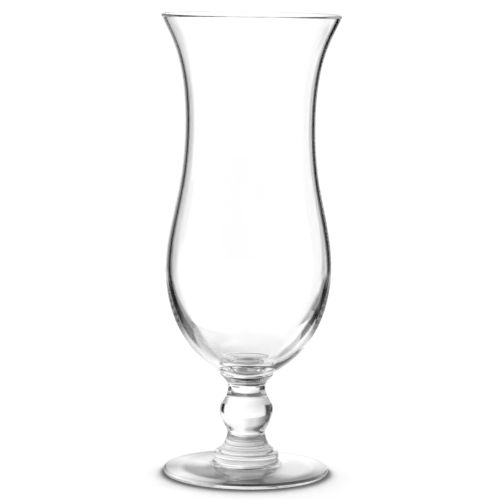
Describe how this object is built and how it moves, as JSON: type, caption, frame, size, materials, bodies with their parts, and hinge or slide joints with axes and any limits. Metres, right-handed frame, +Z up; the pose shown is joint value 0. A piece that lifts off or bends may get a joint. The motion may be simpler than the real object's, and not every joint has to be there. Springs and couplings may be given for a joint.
{
  "type": "hurricane glass",
  "caption": "Clear footed cocktail glass with a flared rim, a narrow waist, a round belly, and a short stem with a ball on a round foot.",
  "frame": {"origin": "centre of the ring that the foot rests on, at table height", "axes": "+Z up along the glass's axis, through the middle of the foot, stem and rim"},
  "size_m": [0.08, 0.08, 0.206],
  "materials": {
    "foot_glass": "clear, fire-polished, pressed",
    "stem_glass": "clear, fire-polished, pressed",
    "bowl_glass": "clear, fire-polished, blown"
  },
  "bodies": {
    "root": {"foot": "foot_glass", "stem": "stem_glass", "bowl": "bowl_glass"}
  },
  "joints": []
}
